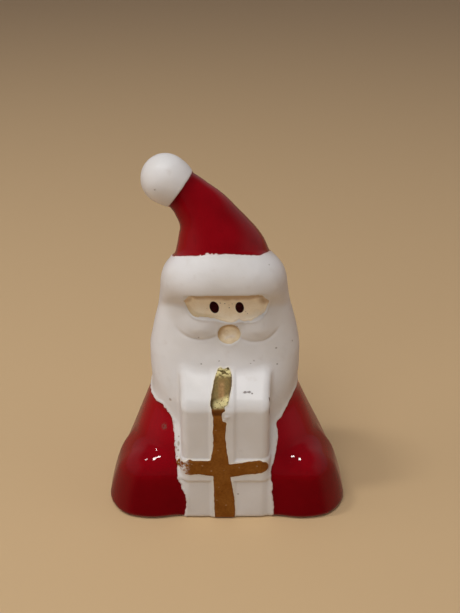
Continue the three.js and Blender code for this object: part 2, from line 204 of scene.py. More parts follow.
def hat(x, y, z):
    """Distance to rings swept along the centre line, each in the plane square to it."""
    u = np.zeros_like(x)
    w = (x - HC[0, 0]) * HT[0, 0] + (y - HC[0, 1]) * HT[0, 1] + (z - HC[0, 2]) * HT[0, 2]
    under = -w
    for i in range(HAT_STEPS):
        C, T = HC[i + 1], HT[i + 1]
        v = (x - C[0]) * T[0] + (y - C[1]) * T[1] + (z - C[2]) * T[2]
        f = np.where(v > 0, 1.0, np.clip(w / np.maximum(w - v, 1e-9), 0, 1))
        ahead = w > 0
        u = np.where(ahead, i + f, u)
        w = np.where(ahead, v, w)
    over = w
    i = np.minimum(u.astype(int), HAT_STEPS - 1)
    f = (u - i)[:, None]
    c = HC[i] * (1 - f) + HC[i + 1] * f
    t = HT[i] * (1 - f) + HT[i + 1] * f
    px, py, pz = x - c[:, 0], y - c[:, 1], z - c[:, 2]
    by = 1 - t[:, 1] ** 2
    bx, bz = -t[:, 0] * t[:, 1], -t[:, 2] * t[:, 1]
    pb = (px * bx + py * by + pz * bz) / np.sqrt(bx * bx + by * by + bz * bz)
    al = px * t[:, 0] + py * t[:, 1] + pz * t[:, 2]
    rest = np.maximum(px * px + py * py + pz * pz - pb * pb - al * al, 0)
    depth = HAT_DEPTH + (1 - HAT_DEPTH) * np.clip(u / HAT_STEPS, 0, 1)
    q = np.maximum(np.sqrt(rest + (pb / depth) ** 2) / c[:, 3], 1e-6)
    d = np.sqrt(rest + pb * pb) * (1 - 1 / q) * 0.86
    d = np.where(over > 0, np.maximum(d, over), d)
    return np.where(under > 0, np.maximum(d, under), d)


def bobble(x, y, z):
    mid = np.array(BOBBLE[:3])
    axis = HC[-1, :3] - mid
    L = np.linalg.norm(axis)
    axis = axis / L
    px, py, pz = x - mid[0], y - mid[1], z - mid[2]
    s = px * axis[0] + py * axis[1] + pz * axis[2]
    r = np.sqrt(np.maximum(px * px + py * py + pz * pz - s * s, 0))
    wide = BOBBLE[3] + (HC[-1, 3] + 0.10 - BOBBLE[3]) * np.clip(s / L, 0, 1) ** 2
    ball = np.sqrt(px * px + py * py + pz * pz) - BOBBLE[3]
    return np.where(s <= 0, ball, cut(r - wide, s - L, 0.25))


def eye_slot(x, y, z):
    sx = (x - SLOT_X) / SLOT_HALF_W
    top = SLOT_TOP - 0.9 * sx ** 4
    low = SLOT_TOP - SLOT_H * (1 - np.clip(np.abs(sx), 0, 1) ** np.where(sx < 0, 6.0, 10.0)) ** 0.5 - 0.045 * (x - SLOT_X)
    s = np.maximum(np.maximum(z - top, low - z), (np.abs(sx) - 1) * SLOT_HALF_W)
    return cut(s, y + SLOT_FLOOR - 0.02 * (x - SLOT_X) ** 2 + SLOT_LEAN * (z - 42), 0.8)


def dimple(x, y, z):
    return np.sqrt((x - DIMPLE[0]) ** 2 + (y - DIMPLE[1]) ** 2 + ((z - DIMPLE[2]) / DIMPLE_FLAT) ** 2) - DIMPLE[3]


def figurine(x, y, z):
    """Distance to the form's surface, below zero inside. Far parts are left out where they can't matter."""
    d = np.full(x.shape, 50.0)
    low, mid, high = z < 36.0, (z > 14.0) & (z < 53.0), z > 38.0
    if low.any():
        X, Y, Z = x[low], y[low], z[low]
        c = coat(X, Y, Z)
        c = join(c, corner(X, Y, Z, -1), CORNER_SOFT)
        c = join(c, corner(X, Y, Z, 1), CORNER_SOFT)
        d[low] = c
    if mid.any():
        X, Y, Z = x[mid], y[mid], z[mid]
        d[mid] = join(d[mid], head(X, Y, Z) - moustache(X, Y, Z), 1.8)
    if low.any():
        X, Y, Z = x[low], y[low], z[low]
        d[low] = join(d[low], gift_box(X, Y, Z), 0.8)
    if high.any():
        X, Y, Z = x[high], y[high], z[high]
        e = join(d[high], brim(X, Y, Z), 1.2)
        e = join(e, hat(X, Y, Z), 1.5)
        e = join(e, bobble(X, Y, Z), 0.3)
        d[high] = e
    if mid.any():
        X, Y, Z = x[mid], y[mid], z[mid]
        e = cut(d[mid], -eye_slot(X, Y, Z), 0.35)
        d[mid] = cut(e, -dimple(X, Y, Z), 0.3)
    soft = HEM_BOX + (HEM_ROUND - HEM_BOX) * np.maximum(ease(8.0, 11.0, np.abs(x)), ease(-8.0, -3.0, y))
    return cut(d, -z, soft)


# ------------------------------------------------------------------ the mesh: rings threaded on a bent line

AROUND = 296
FRONT_SHARE = 2.1                 # how much closer the points stand at the front than at the back
STATIONS = [                      # point on the line, lean of the ring, rings up to the next station, crowding
    ((0, 0, 0), (0, 0), 16, 1.7),
    ((0, 0, 3.2), (0, 0), 22, 1),
    ((0, 0, 8.4), (0, 0), 28, 1),
    ((0, 0, 14.4), (0, 0), 32, 1),
    ((0, 0, 23.0), (0, 0), 50, 1),
    ((0, 0, 28.5), (0, 0.02), 24, 1),
    ((0, 0, 34.2), (0, 0.12), 56, 1),
    ((0, 0, 42.8), (0, 0.30), 26, 1),
    ((-0.7, 0, 48.6), (-0.14, 0.26), 16, 1),
]
HAT_FROM = 0.35
RINGS_HAT, RINGS_COLLAR, RINGS_BOBBLE = 34, 10, 20


def unit(v):
    v = np.asarray(v, float)
    return v / np.linalg.norm(v)


def ring_frames():
    key = [(np.array(c, float), unit((l[0], l[1], 1.0)), n, e) for c, l, n, e in STATIONS]
    for i in range(RINGS_HAT + 1):
        u = (HAT_FROM + (1 - HAT_FROM) * i / RINGS_HAT) * HAT_STEPS
        k = min(int(u), HAT_STEPS - 1)
        f = u - k
        key.append((HC[k, :3] * (1 - f) + HC[k + 1, :3] * f, unit(HT[k] * (1 - f) + HT[k + 1] * f), 1, 1))
    mid = np.array(BOBBLE[:3])
    out = unit(mid - HC[-1, :3])
    c, t, _, _ = key[-1]
    key[-1] = (c, t, RINGS_COLLAR, 1)
    key.append((mid, out, 1, 1))
    frames = []
    for (c0, t0, n, e), (c1, t1, _, _) in zip(key[:-1], key[1:]):
        for i in range(n):
            f = (i / n) ** e
            frames.append((c0 * (1 - f) + c1 * f, unit(t0 * (1 - f) + t1 * f)))
    for i in range(RINGS_BOBBLE):
        s = BOBBLE[3] * math.sin(math.pi / 2 * i / RINGS_BOBBLE)
        frames.append((mid + out * s, out))
    return frames, mid + out * BOBBLE[3]


def reach(o, d, start, step=0.55, rounds=70):
    """How far out the surface lies from points o in directions d: in from start, then halved."""
    r = start.copy()
    live = np.ones(len(r), bool)
    for _ in range(rounds):
        k = np.where(live)[0]
        if not len(k):
            break
        p = o[k] + d[k] * r[k, None]
        v = figurine(p[:, 0], p[:, 1], p[:, 2]) - 0.0015
        inside = v <= 0
        live[k[inside]] = False
        out = k[~inside]
        r[out] = np.maximum(r[out] - np.maximum(v[~inside] * step, 0.03), 0.0)
    lo, hi = r.copy(), r + 0.45
    for _ in range(15):
        m = (lo + hi) / 2
        p = o + d * m[:, None]
        out = figurine(p[:, 0], p[:, 1], p[:, 2]) - 0.0015 > 0
        hi = np.where(out, m, hi)
        lo = np.where(out, lo, m)
    return (lo + hi) / 2


def smooth_rows(a, sigma):
    n = int(sigma * 3)
    k = np.exp(-0.5 * (np.arange(-n, n + 1) / sigma) ** 2)
    k /= k.sum()
    pad = np.concatenate([np.repeat(a[:1], n, 0), a, np.repeat(a[-1:], n, 0)])
    return sum(k[i] * pad[i:i + len(a)] for i in range(2 * n + 1))


def build_rings():
    frames, tip = ring_frames()
    C = np.array([f[0] for f in frames])
    T = np.array([f[1] for f in frames])
    deep = np.array([0, 1, 0])[None] - T * T[:, 1:2]
    deep /= np.linalg.norm(deep, axis=1)[:, None]
    side = np.cross(deep, T)
    # a first, coarse cut gives each ring's outline, so that the points can stand evenly along it
    M = 160
    base = np.linspace(-math.pi, math.pi, M + 1)[:-1]
    angle = -math.pi / 2 + base
    dirs = side[:, None] * np.cos(angle)[None, :, None] + deep[:, None] * np.sin(angle)[None, :, None]
    o = np.repeat(C, M, 0)
    r = reach(o, dirs.reshape(-1, 3), np.full(len(o), 31.0)).reshape(len(C), M)
    P = C[:, None] + dirs * r[..., None]
    step = np.linalg.norm(np.roll(P, -1, 1) - P, axis=2)
    mean = step.mean(1, keepdims=True)
    step = step + 0.35 * mean
    back = 0.5 - 0.5 * np.cos(base + math.pi / M)
    step = step / (1 + (FRONT_SHARE - 1) * back[None] ** 0.8)
    run = np.concatenate([np.zeros((len(C), 1)), np.cumsum(step, 1)], 1)
    run /= run[:, -1:]
    want = np.arange(AROUND) / AROUND
    ext = np.concatenate([base, [math.pi]])
    A = np.array([np.interp(want, run[i], ext) for i in range(len(C))])
    A = smooth_rows(A, 5.0)
    ang = -math.pi / 2 + A
    D = side[:, None] * np.cos(ang)[..., None] + deep[:, None] * np.sin(ang)[..., None]
    guess = np.array([np.interp(A[i], ext, np.append(r[i], r[i, 0])) for i in range(len(C))]) + 1.2
    o = np.repeat(C, AROUND, 0)
    R = reach(o, D.reshape(-1, 3), guess.ravel(), rounds=50)
    V = o + D.reshape(-1, 3) * R[:, None]
    V[:, 2] = np.maximum(V[:, 2], 0)
    return V.reshape(len(C), AROUND, 3), tip


grid, tip = build_rings()
rings = len(grid)


def field_normals(p, e=0.04):
    n = np.empty_like(p)
    for k in range(3):
        a, b = p.copy(), p.copy()
        a[:, k] += e
        b[:, k] -= e
        n[:, k] = figurine(*a.T) - figurine(*b.T)
    return n / np.maximum(np.linalg.norm(n, axis=1), 1e-9)[:, None]


verts = np.vstack([[[0, 0, 0]], grid.reshape(-1, 3), [tip]])
normals = field_normals(verts)
normals[0] = (0, 0, -1)
verts[:, 0] -= MIDDLE[0]
verts[:, 1] -= MIDDLE[1]
x, y, z = verts.T                 # from here on in the part's own frame, still in millimetres

# ------------------------------------------------------------------ seeded noise in space

_rng = np.random.RandomState(7)
_lattice = _rng.rand(32, 32, 32).astype(float)


def noise(px, py, pz, size, seed=0):
    """Smooth value noise from -1 to 1, with features about size mm across."""
    q = [px / size + 11.3 * seed, py / size + 5.7 * seed + 3.1, pz / size + 7.9 * seed + 9.2]
    i = [np.floor(v).astype(int) for v in q]
    f = [v - k for v, k in zip(q, i)]
    f = [t * t * t * (t * (t * 6 - 15) + 10) for t in f]
    i0 = [k % 32 for k in i]
    i1 = [(k + 1) % 32 for k in i]
    out = 0.0
    for a in (0, 1):
        for b in (0, 1):
            for c in (0, 1):
                w = (f[0] if a else 1 - f[0]) * (f[1] if b else 1 - f[1]) * (f[2] if c else 1 - f[2])
                out = out + w * _lattice[(i1 if a else i0)[0], (i1 if b else i0)[1], (i1 if c else i0)[2]]
    return out * 2 - 1


# ------------------------------------------------------------------ painted areas, as distances in mm

def to_line(u, v, line):
    """Distance from points (u, v) to a polyline."""
    best = np.full(u.shape, 1e9)
    for (a, b), (c, d) in zip(line[:-1], line[1:]):
        du, dv = c - a, d - b
        t = np.clip(((u - a) * du + (v - b) * dv) / max(du * du + dv * dv, 1e-12), 0, 1)
        best = np.minimum(best, np.hypot(u - a - t * du, v - b - t * dv))
    return best


def in_shape(u, v, line):
    """Whether points (u, v) lie in a closed outline."""
    inside = np.zeros(u.shape, bool)
    for (a, b), (c, d) in zip(line, line[1:] + line[:1]):
        if b == d:
            continue
        cross = ((b > v) != (d > v)) & (u < (c - a) * (v - b) / (d - b) + a)
        inside ^= cross
    return inside


def signed(u, v, line):
    """Positive inside a closed outline."""
    closed = list(line) + [line[0]]
    return np.where(in_shape(u, v, list(line)), 1, -1) * to_line(u, v, closed)


def round_curve(line, per=6):
    """A smooth curve through the points of an open line."""
    P = [line[0]] + list(line) + [line[-1]]
    out = []
    for a, b, c, d in zip(P[:-3], P[1:-2], P[2:-1], P[3:]):
        for i in range(per):
            f = i / per
            out.append(tuple(0.5 * (2 * b[k] + (c[k] - a[k]) * f + (2 * a[k] - 5 * b[k] + 4 * c[k] - d[k]) * f * f
                                    + (3 * b[k] - a[k] - 3 * c[k] + d[k]) * f ** 3) for k in range(2)))
    out.append(tuple(line[-1]))
    return out


RIM = 14.0                        # radius on which the body's sides are unrolled


def unroll(px, py):
    return RIM * np.arctan2(px, -py)


# Lower border of the white: from the back round the left side, down beside the box, and up again on the right.
left_edge = [(-15.15, -0.3, 22.6), (-14.7, -2.9, 21.9), (-14.18, -5.13, 21.35), (-12.9, -6.9, 21.55), (-12.38, -7.37, 21.36),
             (-11.6, -8.2, 20.6), (-10.91, -8.89, 19.79), (-10.4, -9.9, 18.2), (-10.17, -10.72, 16.83), (-10.05, -11.7, 14.9),
             (-9.95, -12.56, 13.18), (-9.8, -13.35, 11.6), (-9.54, -14.03, 10.21), (-9.0, -14.5, 7.9), (-8.47, -14.80, 5.98),
             (-8.15, -14.9, 4.2), (-8.02, -15.0, 2.5), (-8.15, -15.0, 1.0), (-8.15, -15.0, -1.5)]
right_edge = [(9.10, -14.75, -1.5), (9.08, -14.74, 0.3), (9.03, -14.76, 2.6), (8.99, -14.78, 4.76), (8.75, -14.4, 7.7),
              (8.60, -13.96, 10.51), (9.10, -13.1, 12.2), (9.44, -12.42, 13.54), (9.80, -11.6, 14.9), (9.95, -10.77, 16.4),
              (9.65, -10.1, 17.6), (9.64, -9.50, 18.8), (10.71, -8.47, 19.76), (11.7, -7.2, 21.0), (12.62, -5.91, 22.3), (14.2, -3.1, 23.4)]
turn = RIM * math.pi
border = ([(-turn, 25.2), (-0.72 * turn, 25.4)]
          + [(RIM * math.atan2(a, -b), c) for a, b, c in left_edge]
          + [(RIM * math.atan2(a, -b), c) for a, b, c in right_edge]
          + [(0.70 * turn, 25.3), (turn, 25.2)])
border = [(-turn - 9, 25.2)] + round_curve(border, 5) + [(turn + 9, 25.2), (turn + 9, 90.0), (-turn - 9, 90.0)]
u = unroll(x, y + 0.0)
white_low = signed(u, z, border)
wob = 0.16 * noise(x, y, z, 1.5, 1) + 0.10 * noise(x, y, z, 0.6, 2)
white_low = white_low + wob * np.where(x < 0, 1.25, 0.75)

# Upper border of the white: where the hat leaves its band.
hx, hy = x + 1.4, y - 0.9
around = np.degrees(np.arctan2(hx, -hy))
turns = [-180, -120, -86, -60, -42, -26, -12, 4, 19, 33, 50, 66, 82, 130, 180]
heights = [50.3, 50.2, 49.84, 50.26, 50.51, 50.70, 51.05, 51.13, 51.01, 50.85, 50.6, 50.8, 50.84, 50.4, 50.3]
h = z + 0.30 * (y + MIDDLE[1])
hat_edge = h - np.interp(around, turns, heights) + 0.10 * noise(x, y, z, 1.3, 3) + 0.05 * noise(x, y, z, 0.5, 4)

# Border between hat and bobble: a ring square to the hat's end.
end = HC[-1, :3] - np.array([MIDDLE[0], MIDDLE[1], 0])
mid = np.array(BOBBLE[:3]) - np.array([MIDDLE[0], MIDDLE[1], 0])
axis = unit(mid - end)
bob_edge = (x - end[0]) * axis[0] + (y - end[1]) * axis[1] + (z - end[2]) * axis[2] - 0.04
bob_edge = bob_edge + 0.05 * noise(x, y, z, 1.1, 5)

# Red where below the low border, or on the hat between its two borders.
red_hat = np.minimum(hat_edge, -bob_edge)
red_hat = np.where(z > 44, red_hat, -5)
white_low_far = np.where(z > 34, 5.0, white_low)
red = np.maximum(-white_low_far, red_hat)

# Bare, flesh-coloured clay in the eye slot and the dimple.
fx, fy = x + MIDDLE[0], y + MIDDLE[1]
front = y < -4
slot_edge = [(-8.05, 44.15), (-7.75, 43.5), (-7.55, 42.75), (-7.2, 42.0), (-6.75, 41.35), (-6.25, 40.95), (-5.6, 40.72), (-4.07, 40.55),
             (-2.2, 40.42), (-0.94, 40.2), (0.3, 39.95), (1.23, 40.0), (2.3, 40.2), (3.3, 39.95), (4.6, 40.0), (5.7, 40.25), (6.5, 40.75),
             (7.1, 41.45), (7.45, 42.2), (7.75, 43.2), (7.85, 44.0), (7.35, 44.4), (6.6, 44.8), (5.9, 45.2), (4.9, 46.0), (1.2, 46.5), (-1.9, 46.4), (-6.2, 45.6)]
flesh_slot = np.maximum(-signed(x, z, slot_edge), -9.15 - y)
flesh_dimple = np.maximum(dimple(fx, fy, z) - 0.10, (np.hypot((x - 0.43) / 2.12, (z - 37.3) / 2.05) - 1) * 2)
flesh = np.minimum(flesh_slot, flesh_dimple)
flesh = np.where(front & (z > 33) & (z < 49), flesh, 5.0)
flesh = flesh + 0.07 * noise(x, y, z, 1.0, 6) + 0.04 * noise(x, y, z, 0.4, 13)

# Eyes on the floor of the slot.
EYES = [(-2.32, 42.64, 0.87, 1.32, 0.18), (2.41, 42.58, 0.79, 1.24, 0.16)]
eye = np.full(x.shape, 9.0)
for ex, ez, rx, rz, tilt in EYES:
    a = (x - ex) * math.cos(tilt) + (z - ez) * math.sin(tilt)
    b = -(x - ex) * math.sin(tilt) + (z - ez) * math.cos(tilt)
    q = np.sqrt((a / rx) ** 2 + (b / rz) ** 2)
    eye = np.minimum(eye, (q - 1) * min(rx, rz))
eye = np.where(front, eye, 9.0)

# Gold cross on the box.
gold_left = [(-1.75, 30.6), (-1.95, 30.1), (-2.2, 29.5), (-2.5, 28.8), (-2.8, 27.7), (-3.06, 26.0), (-2.94, 25.6), (-2.66, 24.0),
             (-2.55, 22.4), (-2.66, 19.8), (-2.58, 17.7), (-2.82, 15.6), (-3.04, 13.8), (-2.9, 11.5), (-2.64, 10.07), (-2.5, 6.0), (-2.43, 2.75), (-2.3, -1.5)]
gold_right = [(1.6, -1.5), (1.54, 0.5), (1.54, 3.24), (1.23, 6.58), (0.95, 8.4), (0.71, 10.07), (0.45, 12.0), (0.30, 14.06), (0.05, 15.9),
              (-0.09, 17.73), (-0.28, 18.88), (-0.25, 20.2), (-0.18, 21.6), (-0.09, 22.47), (-0.60, 22.8), (-0.78, 23.1), (-0.86, 24.0),
              (-0.77, 24.7), (-0.25, 25.05), (-0.38, 25.7), (0.16, 26.0), (0.42, 26.7), (0.66, 27.7), (1.0, 28.9), (0.89, 29.6), (0.61, 30.45),
              (0.2, 30.85), (-0.5, 30.6), (-1.2, 30.95)]
upright = round_curve(gold_left, 3) + round_curve(gold_right, 3)
bar = [(-9.85, 11.9), (-9.3, 12.7), (-8.65, 13.3), (-8.0, 13.5), (-7.26, 14.15), (-6.6, 13.9), (-5.4, 13.75), (-3.43, 13.75), (0.8, 13.15),
       (3.44, 13.58), (5.3, 13.85), (6.7, 13.75), (7.6, 13.35), (8.04, 12.5), (8.0, 11.9), (7.5, 11.35), (6.7, 11.0), (5.2, 10.8), (3.46, 10.62),
       (0.71, 10.07), (-2.87, 10.31), (-4.3, 10.6), (-5.7, 10.78), (-7.0, 10.55), (-8.16, 10.75), (-9.0, 11.2)]
gold = np.maximum(signed(x, z, upright), signed(x, z, bar))
gold = np.where(front & (y < -8.5) & (z < 33), gold, -5.0)
gold = gold + 0.07 * noise(x, y, z, 0.8, 7) + 0.05 * noise(x, y, z, 0.35, 8)

# ------------------------------------------------------------------ the paint's own relief

is_white = ease(-0.05, 0.10, -red)
bead = np.exp(-((-red - 0.20) / 0.20) ** 2) * (-red > -0.1)
lip = np.where(z < 26, np.where(x < 0, 0.20, 0.11), 0.07) * (1 + 0.45 * noise(x, y, z, 1.4, 14))
lip = lip * np.where(y > 2, 0.5, 1.0)
lift = 0.07 * is_white + lip * bead * is_white
lift = lift + 0.04 * ease(-0.06, 0.06, gold) + 0.05 * np.exp(-((gold - 0.12) / 0.12) ** 2)
lift = lift + 0.040 * noise(x, y, z, 3.2, 9) * is_white + 0.020 * noise(x, y, z, 1.2, 10) * is_white
lift = lift + 0.030 * noise(x, y, z, 6.0, 11) * (0.35 + 0.65 * is_white)
# lumps of thick white beside the box and where it runs over the gold
strip = ease(0.9, 0.2, -red) * (z > 9) * (z < 21) * (x < 0) * (x > -11.5) * is_white
lift = lift + 0.10 * np.maximum(noise(x, y, z, 0.9, 15), 0) * strip
for bx, bz, br, bh in ((0.02, 26.05, 0.42, 0.16), (-0.40, 25.55, 0.40, 0.14), (0.05, 23.75, 0.55, 0.16), (-0.35, 23.15, 0.4, 0.12)):
    lift = lift + bh * ease(br, 0.0, np.hypot(x - bx, z - bz)) * (y < -12) * ease(0.05, -0.05, gold)
lift = np.where(flesh < 0.05, 0.03 * noise(x, y, z, 0.9, 12) + 0.03 * noise(x, y, z, 0.45, 16), lift)
rim = np.exp(-((flesh - 0.28) / 0.18) ** 2) * (flesh > 0)
lift = lift + np.where(z < 39.6, 0.08, np.where(z < 43.5, 0.19, 0.05)) * rim
# a small ridge low in the dimple; the same mask also paints it lighter, as a painted highlight
dimple_ridge_and_highlight = np.exp(-(((z - 36.35) + 0.10 * (x - 0.4) ** 2 - 0.25 * (x - 0.4)) / 0.22) ** 2) * ease(1.3, 0.5, abs(x - 0.55))
for cx, cz, rx, up, down, H in LOBES[:2]:
    e = np.hypot((fx - cx) / rx, (z - cz) / np.where(z > cz, up, down))
    under = ease(cz + 0.1, cz - 1.3, z) * front * (flesh > 0.2)
    lift = lift + (0.07 * np.exp(-((e - 0.72) / 0.13) ** 2) - 0.10 * np.exp(-((e - 0.92) / 0.10) ** 2)) * under
lift = lift + 0.13 * dimple_ridge_and_highlight * (flesh < 0) * (z < 39)
lift = lift + 0.05 * ease(0.05, -0.10, eye)
lift = lift - 0.03
# glaze that has run down the hat and stands in a soft roll above the band
run = (z - 52.15 - 0.10 * x + 0.055 * (x - 1.2) ** 2) / 0.55
lift = lift + 0.20 * np.exp(-run ** 2) * ease(-3.6, -1.2, x) * ease(5.6, 3.6, x) * (y < -1) * ease(-0.1, 0.4, red_hat)
foot = ease(0.0, 0.35, z)
verts = verts + normals * (lift * foot)[:, None]
verts[:, 2] = np.maximum(verts[:, 2], 0)

# ------------------------------------------------------------------ the mesh in Blender

faces = []
idx = np.arange(rings * AROUND).reshape(rings, AROUND) + 1
nxt = np.roll(idx, -1, 1)
quads = np.stack([idx[:-1], nxt[:-1], nxt[1:], idx[1:]], -1).reshape(-1, 4)
first = np.stack([np.zeros(AROUND, int), nxt[0], idx[0]], -1)
last = np.stack([idx[-1], nxt[-1], np.full(AROUND, rings * AROUND + 1)], -1)
mesh = bpy.data.meshes.new("santa_figurine_glazed")
mesh.from_pydata((verts / 1000).tolist(), [], quads.tolist() + first.tolist() + last.tolist())
mesh.update()
mesh.shade_smooth()
obj = bpy.data.objects.new("santa_figurine_glazed", mesh)
bpy.context.scene.collection.objects.link(obj)


def put(name, values):
    a = mesh.attributes.new(name, "FLOAT", "POINT")
    a.data.foreach_set("value", np.asarray(values, np.float32))


put("d_red", red)
put("d_gold", gold)
put("d_flesh", flesh)
put("d_eye", eye)
# painted shade: the red darker in the crease all round under the bobble
put("painted_shade_under_bobble", ease(-2.6, -0.3, bob_edge) * (z > 50) * ease(0.2, -0.2, bob_edge))

# Painted shade: brown along the top and the ends of the slot, under the band, and in the upper left of the dimple, on
# its upper wall.
slot_painted_shade = ease(43.95, 44.75, z + 0.25 * noise(x, y, z, 1.1, 17))
slot_painted_shade = np.maximum(slot_painted_shade, ease(1.25, 0.3, np.hypot(x + 7.4, (z - 44.1) * 1.3)))
slot_painted_shade = np.maximum(slot_painted_shade, ease(1.5, 0.3, np.hypot((x - 7.1) * 0.9, (z - 43.9) * 0.9)))
ring = np.hypot((x - 0.5) / 2.15, (z - 37.2) / 2.05)
dimple_painted_shade = ease(0.55, 0.95, ring) * ease(-0.35, 0.5, (-(x - 0.5) * 0.45 + (z - 37.2) * 0.89) / 2.1)
slot_painted_shade = np.where(z < 39.6, dimple_painted_shade, slot_painted_shade) * (flesh < 0.4) * front
put("slot_painted_shade", slot_painted_shade)
ochre = ease(0.75, 0.15, -flesh) * ease(43.4, 42.2, z) * ease(3.0, -5.0, x)
put("dimple_ridge_and_highlight", dimple_ridge_and_highlight * (flesh < 0) * (z < 39.6) * front)
put("ochre", np.where(z < 39.6, ease(0.5, 0.9, ring) * 0.8, ochre) * front)

print("extent", grid.reshape(-1, 3).min(0), grid.reshape(-1, 3).max(0))
print("mesh", len(verts), "vertices", 2 * len(quads) + 2 * AROUND, "triangles")

# ------------------------------------------------------------------ material

mat = bpy.data.materials.new("glazed_ceramic")
mat.use_nodes = True
nt = mat.node_tree
nt.nodes.clear()
out = nt.nodes.new("ShaderNodeOutputMaterial")
bsdf = nt.nodes.new("ShaderNodeBsdfPrincipled")
nt.links.new(bsdf.outputs["BSDF"], out.inputs["Surface"])


def node(kind, **values):
    n = nt.nodes.new(kind)
    for k, v in values.items():
        setattr(n, k, v)
    return n


def link(a, b):
    nt.links.new(a, b)


def attr(name):
    return node("ShaderNodeAttribute", attribute_name=name).outputs["Fac"]


def step(value, low, high):
    """0 below low, 1 above high."""
    m = node("ShaderNodeMapRange", interpolation_type="SMOOTHSTEP")
    m.inputs["From Min"].default_value, m.inputs["From Max"].default_value = min(low, high), max(low, high)
    m.inputs["To Min"].default_value, m.inputs["To Max"].default_value = (0, 1) if low < high else (1, 0)
    link(value, m.inputs["Value"])
    return m.outputs["Result"]


def mix_color(fac, a, b, blend="MIX"):
    m = node("ShaderNodeMix", data_type="RGBA", blend_type=blend)
    for socket, v in ((m.inputs["Factor"], fac), (m.inputs["A"], a), (m.inputs["B"], b)):
        pass
    fa = [s for s in m.inputs if s.name == "Factor" and s.type == "VALUE"][0]
    ia = [s for s in m.inputs if s.name == "A" and s.type == "RGBA"][0]
    ib = [s for s in m.inputs if s.name == "B" and s.type == "RGBA"][0]
    for socket, v in ((fa, fac), (ia, a), (ib, b)):
        if hasattr(v, "links"):
            link(v, socket)
        elif isinstance(v, tuple):
            socket.default_value = (*v, 1.0)
        else:
            socket.default_value = v
    return [s for s in m.outputs if s.name == "Result" and s.type == "RGBA"][0]


def mix_value(fac, a, b):
    m = node("ShaderNodeMix", data_type="FLOAT")
    fa = [s for s in m.inputs if s.name == "Factor" and s.type == "VALUE"][0]
    ia = [s for s in m.inputs if s.name == "A" and s.type == "VALUE"][0]
    ib = [s for s in m.inputs if s.name == "B" and s.type == "VALUE"][0]
    for socket, v in ((fa, fac), (ia, a), (ib, b)):
        if hasattr(v, "links"):
            link(v, socket)
        else:
            socket.default_value = v
    return [s for s in m.outputs if s.name == "Result" and s.type == "VALUE"][0]


def math_node(op, a, b=None, clamp=False):
    m = node("ShaderNodeMath", operation=op, use_clamp=clamp)
    for i, v in enumerate((a, b)):
        if v is None:
            continue
        if hasattr(v, "links"):
            link(v, m.inputs[i])
        else:
            m.inputs[i].default_value = v
    return m.outputs[0]


geo = node("ShaderNodeTexCoord").outputs["Object"]
scale_mm = node("ShaderNodeVectorMath", operation="SCALE")
link(geo, scale_mm.inputs[0])
scale_mm.inputs["Scale"].default_value = 1000.0
pos = scale_mm.outputs[0]         # the place on the figurine in millimetres


def noise_tex(size, detail=2.0, rough=0.5):
    n = node("ShaderNodeTexNoise")
    n.inputs["Scale"].default_value = 1.0 / size
    n.inputs["Detail"].default_value = detail
    n.inputs["Roughness"].default_value = rough
    link(pos, n.inputs["Vector"])
    return n.outputs["Fac"]


def srgb(r, g, b):
    f = lambda c: c / 12.92 if c <= 0.04045 else ((c + 0.055) / 1.055) ** 2.4
    return tuple(f(v / 255) for v in (r, g, b))


def spot(place, r, stretch=None):
    """1 within about r mm of a place, a little ragged, fading to 0."""
    d = node("ShaderNodeVectorMath", operation="SUBTRACT")
    link(ragged, d.inputs[0])
    d.inputs[1].default_value = place
    v = d.outputs[0]
    if stretch:
        m = node("ShaderNodeVectorMath", operation="MULTIPLY")
        link(v, m.inputs[0])
        m.inputs[1].default_value = stretch
        v = m.outputs[0]
    n = node("ShaderNodeVectorMath", operation="LENGTH")
    link(v, n.inputs[0])
    return step(n.outputs["Value"], r * 1.35, r * 0.65)


def spots(items):
    total = None
    for item in items:
        v = spot(item[:3], item[3], item[4] if len(item) > 4 else None)
        total = v if total is None else math_node("MAXIMUM", total, v)
    return total


wobble = node("ShaderNodeTexNoise")
wobble.inputs["Scale"].default_value = 2.4
link(pos, wobble.inputs["Vector"])
off = node("ShaderNodeVectorMath", operation="SUBTRACT")
link(wobble.outputs["Color"], off.inputs[0])
off.inputs[1].default_value = (0.5, 0.5, 0.5)
small = node("ShaderNodeVectorMath", operation="SCALE")
link(off.outputs[0], small.inputs[0])
small.inputs["Scale"].default_value = 0.35
added = node("ShaderNodeVectorMath", operation="ADD")
link(pos, added.inputs[0])
link(small.outputs[0], added.inputs[1])
ragged = added.outputs[0]


def dots(size, chance, r, seed):
    """Sparse small dots all over: 1 inside a dot."""
    move = node("ShaderNodeVectorMath", operation="ADD")
    link(pos, move.inputs[0])
    move.inputs[1].default_value = (seed * 13.1, seed * 7.7, seed * 3.3)
    v = node("ShaderNodeTexVoronoi")
    v.inputs["Scale"].default_value = 1.0 / size
    link(move.outputs[0], v.inputs["Vector"])
    split = node("ShaderNodeSeparateColor")
    link(v.outputs["Color"], split.inputs["Color"])
    near = step(v.outputs["Distance"], r / size * 1.3, r / size * 0.7)
    some = step(split.outputs["Red"], 1 - chance - 0.002, 1 - chance + 0.002)
    return math_node("MULTIPLY", near, some)


split_pos = node("ShaderNodeSeparateXYZ")
link(pos, split_pos.inputs[0])
px, py, pz = split_pos.outputs
big = noise_tex(9.0)
mid_n = noise_tex(2.5, 3.0)
fine = noise_tex(0.5, 3.0, 0.6)
grain = noise_tex(0.18, 2.0, 0.6)
d_red, d_gold, d_flesh, d_eye = attr("d_red"), attr("d_gold"), attr("d_flesh"), attr("d_eye")

